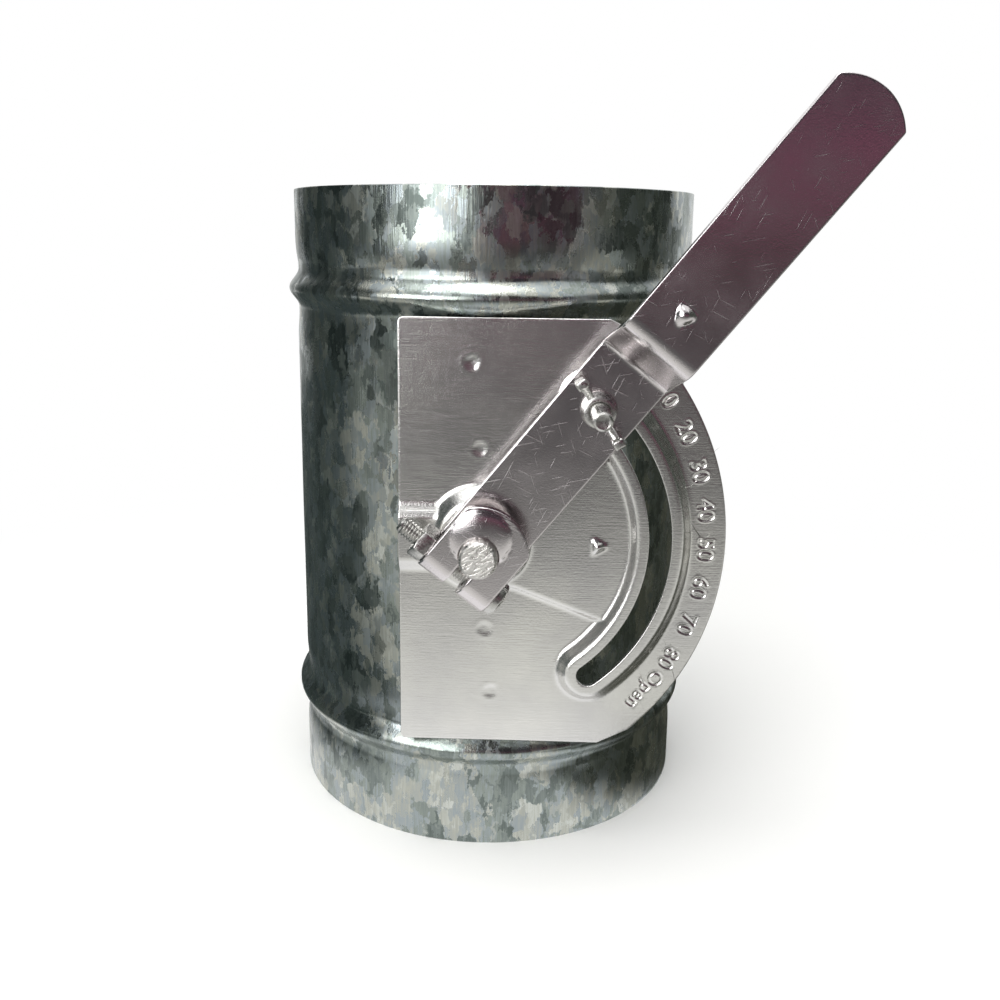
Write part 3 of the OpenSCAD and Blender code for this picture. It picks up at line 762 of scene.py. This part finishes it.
def pan_head(radius, height):
    """A pan head in mm that stands on z = 0, with a cross recess."""
    arc = [(radius * math.cos(a), height / 2 + height / 2 * math.sin(a))
           for a in (math.radians(10 * i) for i in range(10))]
    head = turned([(0, 0), (radius - 0.15, 0), (radius, 0.15)] + arc[:-1] + [(0, height)], steps=64)
    for turn in (0, math.pi / 2):
        wing = bmesh.new()
        bmesh.ops.create_cube(wing, size=1)
        bmesh.ops.scale(wing, vec=(radius * 1.16, radius * 0.27, height * 1.3), verts=wing.verts)
        low = [v for v in wing.verts if v.co.z < 0]
        bmesh.ops.scale(wing, vec=(0.3, 0.55, 1), verts=low)
        head = carved(head, moved(wing, Matrix.Translation((0, 0, height)) @ Matrix.Rotation(turn + 0.4, 4, "Z")))
    return head


def hexagon_nut(across, height, bore, pitch):
    """A hexagon nut in mm from z = 0, with turned corners and a threaded bore."""
    nut = bmesh.new()
    bmesh.ops.create_cone(nut, cap_ends=True, segments=6, radius1=across / 2 / math.cos(math.pi / 6),
                          radius2=across / 2 / math.cos(math.pi / 6), depth=height)
    moved(nut, Matrix.Translation((0, 0, height / 2)) @ Matrix.Rotation(math.pi / 6, 4, "Z"))
    r = across / 2
    lens = turned([(0, -0.1), (r - 0.15, -0.1), (r + 0.75, 0.42), (r + 0.75, height - 0.42),
                   (r - 0.15, height + 0.1), (0, height + 0.1)], steps=64)
    nut = carved(nut, lens, "INTERSECT")
    turns = int(height / pitch)
    bore_points = [(0, -0.2), (bore + 0.35, -0.2), (bore, 0.35)]
    for i in range(turns):
        z = 0.35 + (height - 0.7) * i / turns
        bore_points += [(bore - 0.0, z), (bore - 0.3, z + pitch / 2)]
    bore_points += [(bore, height - 0.35), (bore + 0.35, height + 0.2), (0, height + 0.2)]
    return carved(nut, turned(bore_points, steps=48))


def washer(outer, inner, low, high, round_off=0.12):
    """A washer in mm with slightly rounded edges."""
    c = round_off
    return turned([(inner, low + c), (inner + c, low), (outer - c, low), (outer, low + c),
                   (outer, high - c), (outer - c, high), (inner + c, high), (inner, high - c)],
                  steps=64, closed=True)


ON_PINCH = ON_LEVER @ Matrix.Translation((-6.2, -8.45, 59.1)) @ Matrix.Rotation(-math.pi / 2, 4, "X")
ON_STUD = ON_LEVER @ Matrix.Translation((38.6, 0, 0))


class DAMPER_OT_clamp_screw(bpy.types.Operator):
    """Makes the clamp's pinch screw and its nut"""
    bl_idname = "damper.clamp_screw"
    bl_label = "Clamp screw"

    def execute(self, context):
        sizes = context.scene.damper_hardware
        radius, pitch = sizes.screw_radius / MM, sizes.thread_pitch / MM
        head = moved(pan_head(4.0, 2.6), Matrix.Rotation(math.pi, 4, "X"))
        shown(joined(screw_thread(25, radius, pitch), head), "pinch_screw_threaded", "damper",
              finish(zinc_hardware), ["pinch_screw"], ON_PINCH, sharp=30)
        nut = hexagon_nut(7, 3.2, radius + 0.05, pitch)
        shown(nut, "pinch_nut_turned", "damper", finish(zinc_hardware), ["pinch_nut"],
              ON_PINCH @ Matrix.Translation((0, 0, 16.9)) @ Matrix.Rotation(math.radians(12), 4, "Z"),
              [rounded(0.12)], sharp=30)
        return {"FINISHED"}


class DAMPER_OT_lock(bpy.types.Operator):
    """Makes the locking bolt, its washer and the wing nut"""
    bl_idname = "damper.lock"
    bl_label = "Lock"

    def execute(self, context):
        radius = context.scene.damper_hardware.screw_radius / MM
        stud = turned([(0, 53.65), (radius, 53.65), (radius, 71.05), (radius - 0.12, 71.35), (radius - 0.5, 71.6),
                       (radius - 0.9, 71.5), (0, 71.5)], steps=64)
        head = turned([(0, 50.4), (3.2, 50.4), (3.8, 50.6), (4, 51.0), (4, 52.1), (3.8, 52.3), (0, 52.3)],
                      steps=64)
        neck = bmesh.new()
        bmesh.ops.create_cube(neck, size=1)
        bmesh.ops.scale(neck, vec=(4.2, 4.2, 2.0), verts=neck.verts)
        moved(neck, Matrix.Translation((0, 0, 52.75)))
        shown(joined(stud, head, neck), "lock_bolt_turned", "damper",
              finish(zinc_hardware), ["lock_bolt"], ON_STUD, sharp=30)
        shown(washer(6, 2.2, 53.95, 54.75), "slot_washer_pressed", "damper",
              finish(zinc_hardware), ["slot_washer"], ON_STUD)
        hub = turned([(radius + 0.05, 0.3), (radius + 0.3, 0), (3.5, 0), (3.8, 0.3), (3.75, 1.9), (3.5, 2.25),
                      (3.5, 2.45), (3.65, 2.7), (3.3, 4.0), (2.9, 4.2), (radius + 0.35, 4.2), (radius + 0.05, 3.9)],
                     steps=64, closed=True)
        wings = None
        for turn in (0, math.pi):
            web = bmesh.new()
            bmesh.ops.create_cube(web, size=1)
            bmesh.ops.scale(web, vec=(3.6, 1.5, 4.2), verts=web.verts)
            moved(web, Matrix.Translation((4.9, 0, 3.6)))
            for v in web.verts:
                if v.co.x < 5:
                    v.co.z = 0.9 if v.co.z < 3 else 3.9
            end = bmesh.new()
            bmesh.ops.create_cube(end, size=1)
            bmesh.ops.scale(end, vec=(2.1, 2.5, 4.8), verts=end.verts)
            moved(end, Matrix.Translation((7.05, 0, 5.0)))
            for part, width in ((web, 0.3), (end, 0.5)):
                bmesh.ops.bevel(part, geom=part.edges[:], offset=width, offset_type="OFFSET", segments=3,
                                profile=0.5, affect="EDGES", material=-1)
            wing = moved(joined(web, end), Matrix.Rotation(turn, 4, "Z"))
            wings = wing if wings is None else joined(wings, wing)
        shown(joined(hub, wings), "wing_nut_cast", "wing_nut", finish(zinc_hardware),
              ["wing_nut"],
              ON_STUD @ Matrix.Translation((0, 0, 56.85)) @ Matrix.Rotation(math.radians(72), 4, "Z"), sharp=40)
        return {"FINISHED"}


class DAMPER_OT_shaft(bpy.types.Operator):
    """Makes the shaft with its flat, its ring groove and its sawn end"""
    bl_idname = "damper.shaft"
    bl_label = "Shaft"

    def execute(self, context):
        r = context.scene.damper_hardware.shaft_radius / MM
        bar = turned([(0, -56.45), (r - 0.5, -56.45), (r, -55.95), (r, -54.55), (3.2, -54.55), (3.2, -53.55),
                      (r, -53.55), (r, 66.55), (r - 0.2, 66.9), (r - 0.6, 67.2), (0, 67.2)], steps=96)
        flat = bmesh.new()
        bmesh.ops.create_cube(flat, size=1)
        bmesh.ops.scale(flat, vec=(16, 8, 97.2), verts=flat.verts)
        bar = carved(bar, moved(flat, Matrix.Translation((0, 4, 0))))
        shown(bar, "shaft_bar", "damper", finish(sawn_bar), ["shaft"], ON_DIAL, sharp=30)
        return {"FINISHED"}


class DAMPER_OT_blade(bpy.types.Operator):
    """Makes the blade with its screws and washers"""
    bl_idname = "damper.blade"
    bl_label = "Blade"

    def execute(self, context):
        disc = turned([(0, 75), (48.1, 75), (48.3, 75.2), (48.3, 76), (48.1, 76.2), (0, 76.2)], steps=192)
        shown(disc, "blade_disc", "damper", finish(galvanised_spangle), ["blade"])
        heads, washers = [], []
        for side in (-22, 22):
            place = Matrix.Translation((0, side, 77))
            shank = turned([(0, -5.4), (1.7, -5.4), (2, -5.1), (2, 0.3), (0, 0.3)], steps=32)
            heads.append(moved(joined(pan_head(4.0, 2.6), shank), place))
            washers.append(moved(washer(4.6, 2.2, -0.8, 0), place))
        shown(joined(*heads), "blade_screws_set", "damper", finish(zinc_hardware),
              ["blade_screws"], sharp=30)
        shown(joined(*washers), "blade_washers_set", "damper", finish(zinc_hardware),
              ["blade_washers"])
        return {"FINISHED"}


class DAMPER_OT_bearings(bpy.types.Operator):
    """Makes the two bushes, the washers on the shaft and the retaining ring"""
    bl_idname = "damper.bearings"
    bl_label = "Bearings"

    def execute(self, context):
        front = turned([(4.05, 49.1), (4.35, 48.8), (5.5, 48.8), (5.5, 49.45), (7.8, 49.45), (8, 49.65), (8, 52.2),
                        (7.8, 52.4), (5.5, 52.4), (5.5, 53.75), (5.4, 53.85), (4.15, 53.85), (4.05, 53.7)],
                       steps=64, closed=True)
        shown(front, "front_bush_moulded", "housing", finish(moulded_nylon), ["front_bush"], ON_DIAL)
        rear = turned([(4.05, -48.95), (4.2, -48.8), (5.35, -48.8), (5.5, -48.95), (5.5, -49.45), (7.7, -49.45),
                       (8, -49.75), (8, -52.0), (7.5, -52.45), (4.35, -52.45), (4.05, -52.15)],
                      steps=64, closed=True)
        shown(rear, "rear_bush_moulded", "housing", finish(moulded_nylon), ["rear_bush"], ON_DIAL)
        shown(washer(8, 4.05, 53.95, 54.75), "lever_washer_pressed", "damper",
              finish(zinc_hardware), ["lever_washer"], ON_DIAL)
        shown(washer(8, 4.05, -53.55, -52.55), "rear_washer_pressed", "damper",
              finish(zinc_hardware), ["rear_washer"], ON_DIAL)
        section = [(3.25, -54.45), (6.1, -54.45), (6.2, -54.3), (6.2, -53.75), (6.1, -53.6), (3.25, -53.6)]
        ring = turned(section, steps=72, closed=True, angle=math.radians(360 - 74))
        moved(ring, Matrix.Rotation(math.radians(-90 + 37), 4, "Z"))
        shown(ring, "retaining_ring_pressed", "damper", finish(phosphated_spring),
              ["retaining_ring"], ON_DIAL)
        return {"FINISHED"}


# Studio

def glossy_only(card):
    """Lets a stage card show in reflections and nowhere else."""
    card.visible_camera = card.visible_diffuse = card.visible_transmission = False
    card.visible_shadow = card.visible_volume_scatter = False


def reflection_card(name, place, width, height, stops, fades=(0.12, 0.0005)):
    """A card that gives the bright metal something to reflect, shaded upwards and fading out at its edges."""
    bm = bmesh.new()
    bm.loops.layers.uv.new("card")
    bmesh.ops.create_grid(bm, x_segments=1, y_segments=1, size=0.5, calc_uvs=True)
    bmesh.ops.scale(bm, vec=(width, height, 1), verts=bm.verts)
    moved(bm, place)
    mesh = bpy.data.meshes.new(name)
    bm.to_mesh(mesh)
    bm.free()
    card = bpy.data.objects.new(name, mesh)
    bpy.context.scene.collection.objects.link(card)
    material = bpy.data.materials.new(name)
    material.use_nodes = True
    tree = material.node_tree
    tree.nodes.clear()
    across = add(tree, "SeparateXYZ", {0: add(tree, "TexCoord").outputs["UV"]})
    share = None
    for side, fade in zip(across.outputs, fades):
        other = add(tree, "Math", {0: 1.0, 1: side}, operation="SUBTRACT")
        both = add(tree, "Math", {0: side, 1: other.outputs[0]}, operation="MULTIPLY")
        soft = add(tree, "MapRange", {0: both.outputs[0], 2: fade}, interpolation_type="SMOOTHSTEP").outputs[0]
        share = soft if share is None else add(tree, "Math", {0: share, 1: soft}, operation="MULTIPLY").outputs[0]
    colour = add(tree, "ValToRGB", {0: across.outputs[1]}, stops=[(at, linear(c)) for at, c in stops])
    glow = add(tree, "Emission", {0: colour.outputs[0], 1: 1.0})
    mix = add(tree, "MixShader", {0: share, 1: add(tree, "BsdfTransparent").outputs[0], 2: glow.outputs[0]})
    add(tree, "OutputMaterial", {0: mix.outputs[0]})
    mesh.materials.append(material)
    glossy_only(card)


def upright(x, y, z, turn):
    """The place of a card that stands with its middle at a point, turned round the vertical."""
    return Matrix.Translation((x, y, z)) @ Matrix.Rotation(turn, 4, "Z") @ Matrix.Rotation(math.pi / 2, 4, "X")


def soft_lamp(name, place, aim, size, power):
    """A square area lamp in metres that points at a spot."""
    lamp = bpy.data.lights.new(name, "AREA")
    lamp.shape = "SQUARE"
    lamp.size = size
    lamp.energy = power
    holder = bpy.data.objects.new(name, lamp)
    holder.matrix_world = Matrix.Translation(place) @ (
        Vector(aim) - Vector(place)).to_track_quat("-Z", "Y").to_matrix().to_4x4()
    bpy.context.scene.collection.objects.link(holder)


class DAMPER_OT_stage(bpy.types.Operator):
    """Sets up the floor, the soft light, the reflection cards and the camera"""
    bl_idname = "damper.stage"
    bl_label = "Stage"

    def execute(self, context):
        scene, studio = context.scene, context.scene.damper_studio
        self.floor(studio)
        self.world(scene, studio)
        soft_lamp("window lamp", (-0.64, -1.0, 0.46), (0, 0, 0.12), 0.8, studio.window_power)
        soft_lamp("top lamp", (-0.1, -0.15, 1.1), (0, 0, 0.05), 0.7, studio.top_power)
        # What the metal shows: a dim room, wine red behind the camera, and a table that darkens outwards
        reflection_card("front card", upright(0.36, -0.95, 0.6, 0.1), 1.32, 1.2, (
            (0.0, "#4E4648"), (1.0, "#1E1418"), (0.1, "#483D3F"), (0.18, "#845266"), (0.25, "#463A42")),
            (0.06, 0.0005))
        reflection_card("left card", upright(-0.8, 0.1, 0.5, math.pi / 2 - 0.15), 1.7, 1.0, (
            (0.0, "#434B4A"), (1.0, "#343B3A")))
        reflection_card("right card", upright(1.0, -0.25, 0.5, math.pi / 2 + 0.1), 1.9, 1.0, (
            (0.0, "#4E524C"), (1.0, "#464A46")))
        reflection_card("table front", Matrix.Translation((0.1, -0.95, 0.0015)), 2.2, 1.72, (
            (0.0, "#7F8387"), (1.0, "#F6F6F2"), (0.3, "#747678"), (0.62, "#5A595A"), (0.8, "#5E5D5C"),
            (0.9, "#A2A29F"), (0.935, "#D0D0CC")), (0.05, 0.02))
        reflection_card("table left", Matrix.Translation((-0.55, 0.0, 0.001)), 1.0, 1.3, (
            (0.0, "#485150"), (1.0, "#525A59")), (0.03, 0.1))
        reflection_card("table right", Matrix.Translation((0.53, 0.05, 0.0005)), 1.0, 1.3, (
            (0.0, "#4E5048"), (1.0, "#4E5048")), (0.02, 0.1))
        self.camera(scene)
        return {"FINISHED"}

    def floor(self, studio):
        """A pale floor that takes the shadow near the object and turns plain white further out."""
        bm = bmesh.new()
        bmesh.ops.create_circle(bm, cap_ends=True, radius=6, segments=64)
        mesh = bpy.data.meshes.new("studio floor")
        bm.to_mesh(mesh)
        bm.free()
        floor = bpy.data.objects.new("studio floor", mesh)
        bpy.context.scene.collection.objects.link(floor)
        material = bpy.data.materials.new("studio floor, matt")
        material.use_nodes = True
        tree = material.node_tree
        tree.nodes.clear()
        place = add(tree, "TexCoord").outputs["Object"]
        reach = add(tree, "VectorMath", {0: place}, operation="LENGTH")
        matt = add(tree, "BsdfDiffuse", {0: linear(studio.floor)})
        plain = add(tree, "Emission", {0: (1, 1, 1, 1), 1: 1.0})
        path = add(tree, "LightPath")
        seen = add(tree, "Math", {0: path.outputs["Is Camera Ray"], 1: path.outputs["Is Glossy Ray"]},
                   operation="MAXIMUM")
        seen = add(tree, "Math", {0: seen.outputs[0], 1: path.outputs["Is Transmission Ray"]}, operation="MAXIMUM")
        far = add(tree, "MapRange", {0: reach.outputs["Value"], 1: 0.1, 2: 0.3}, interpolation_type="SMOOTHSTEP")
        share = add(tree, "Math", {0: seen.outputs[0], 1: far.outputs[0]}, operation="MULTIPLY")
        near = add(tree, "MapRange", {0: reach.outputs["Value"], 1: 0.035, 2: 0.052},
                   interpolation_type="SMOOTHSTEP")
        near = add(tree, "Math", {0: near.outputs[0], 1: path.outputs["Is Glossy Ray"]}, operation="MULTIPLY")
        share = add(tree, "Math", {0: share.outputs[0], 1: near.outputs[0]}, operation="MAXIMUM")
        mix = add(tree, "MixShader", {0: share.outputs[0], 1: matt.outputs[0], 2: plain.outputs[0]})
        add(tree, "OutputMaterial", {0: mix.outputs[0]})
        mesh.materials.append(material)

    def world(self, scene, studio):
        """White where it is seen, directly or in metal, and an even fill for the rest."""
        world = bpy.data.worlds.new("studio")
        scene.world = world
        world.use_nodes = True
        tree = world.node_tree
        tree.nodes.clear()
        path = add(tree, "LightPath")
        seen = add(tree, "Math", {0: path.outputs["Is Camera Ray"], 1: path.outputs["Is Glossy Ray"]},
                   operation="MAXIMUM")
        seen = add(tree, "Math", {0: seen.outputs[0], 1: path.outputs["Is Transmission Ray"]}, operation="MAXIMUM")
        plain = add(tree, "Background", {0: (1, 1, 1, 1), 1: 1.0})
        fill = add(tree, "Background", {0: (1, 1, 1, 1), 1: studio.fill})
        mix = add(tree, "MixShader", {0: seen.outputs[0], 1: fill.outputs[0], 2: plain.outputs[0]})
        add(tree, "OutputWorld", {0: mix.outputs[0]})
        scene.view_settings.view_transform = "Standard"

    def camera(self, scene):
        """The photograph's view: in front, slightly above and level with the upper end."""
        data = bpy.data.cameras.new("camera")
        data.sensor_width = 36
        data.lens = 36.55
        data.shift_y = -0.05
        data.clip_start, data.clip_end = 0.01, 50
        camera = bpy.data.objects.new("camera", data)
        yaw, pitch, roll = -0.0302, 0.2116, -0.0125
        ahead = Vector((math.sin(yaw) * math.cos(pitch), math.cos(yaw) * math.cos(pitch), -math.sin(pitch)))
        right = Vector((math.cos(yaw), -math.sin(yaw), 0))
        down = ahead.cross(right)
        across = right * math.cos(roll) + down * math.sin(roll)
        up = -(down * math.cos(roll) - right * math.sin(roll))
        turn = Matrix((across, up, -ahead)).transposed().to_4x4()
        camera.matrix_world = Matrix.Translation((0.0102, -0.2634, 0.1405)) @ turn
        scene.collection.objects.link(camera)
        scene.camera = camera


class DAMPER_PT_panel(bpy.types.Panel):
    """Lists the damper's operators and sizes"""
    bl_idname = "DAMPER_PT_panel"
    bl_label = "Damper"
    bl_space_type = "VIEW_3D"
    bl_region_type = "UI"
    bl_category = "Damper"

    def draw(self, context):
        for operator in OPERATORS:
            self.layout.operator(operator.bl_idname)
        for group in GROUPS:
            box = self.layout.box()
            for name in GROUPS[group].__annotations__:
                box.prop(getattr(context.scene, group), name)


GROUPS = {
    "damper_sleeve": SleeveSizes, "damper_dial": DialSizes, "damper_lever": LeverSizes,
    "damper_hardware": HardwareSizes, "damper_colours": FinishColours, "damper_studio": StudioSettings,
}
OPERATORS = (
    DAMPER_OT_stage, DAMPER_OT_sleeve, DAMPER_OT_dial_plate, DAMPER_OT_lever, DAMPER_OT_clamp_screw,
    DAMPER_OT_lock, DAMPER_OT_shaft, DAMPER_OT_blade, DAMPER_OT_bearings,
)


def register():
    for name, group in GROUPS.items():
        bpy.utils.register_class(group)
        setattr(bpy.types.Scene, name, bpy.props.PointerProperty(type=group))
    for operator in OPERATORS:
        bpy.utils.register_class(operator)
    bpy.utils.register_class(DAMPER_PT_panel)


def unregister():
    bpy.utils.unregister_class(DAMPER_PT_panel)
    for operator in reversed(OPERATORS):
        bpy.utils.unregister_class(operator)
    for name, group in reversed(list(GROUPS.items())):
        delattr(bpy.types.Scene, name)
        bpy.utils.unregister_class(group)


def main():
    register()
    for operator in OPERATORS:
        area, action = operator.bl_idname.split(".")
        getattr(getattr(bpy.ops, area), action)()


if __name__ == "__main__":
    main()
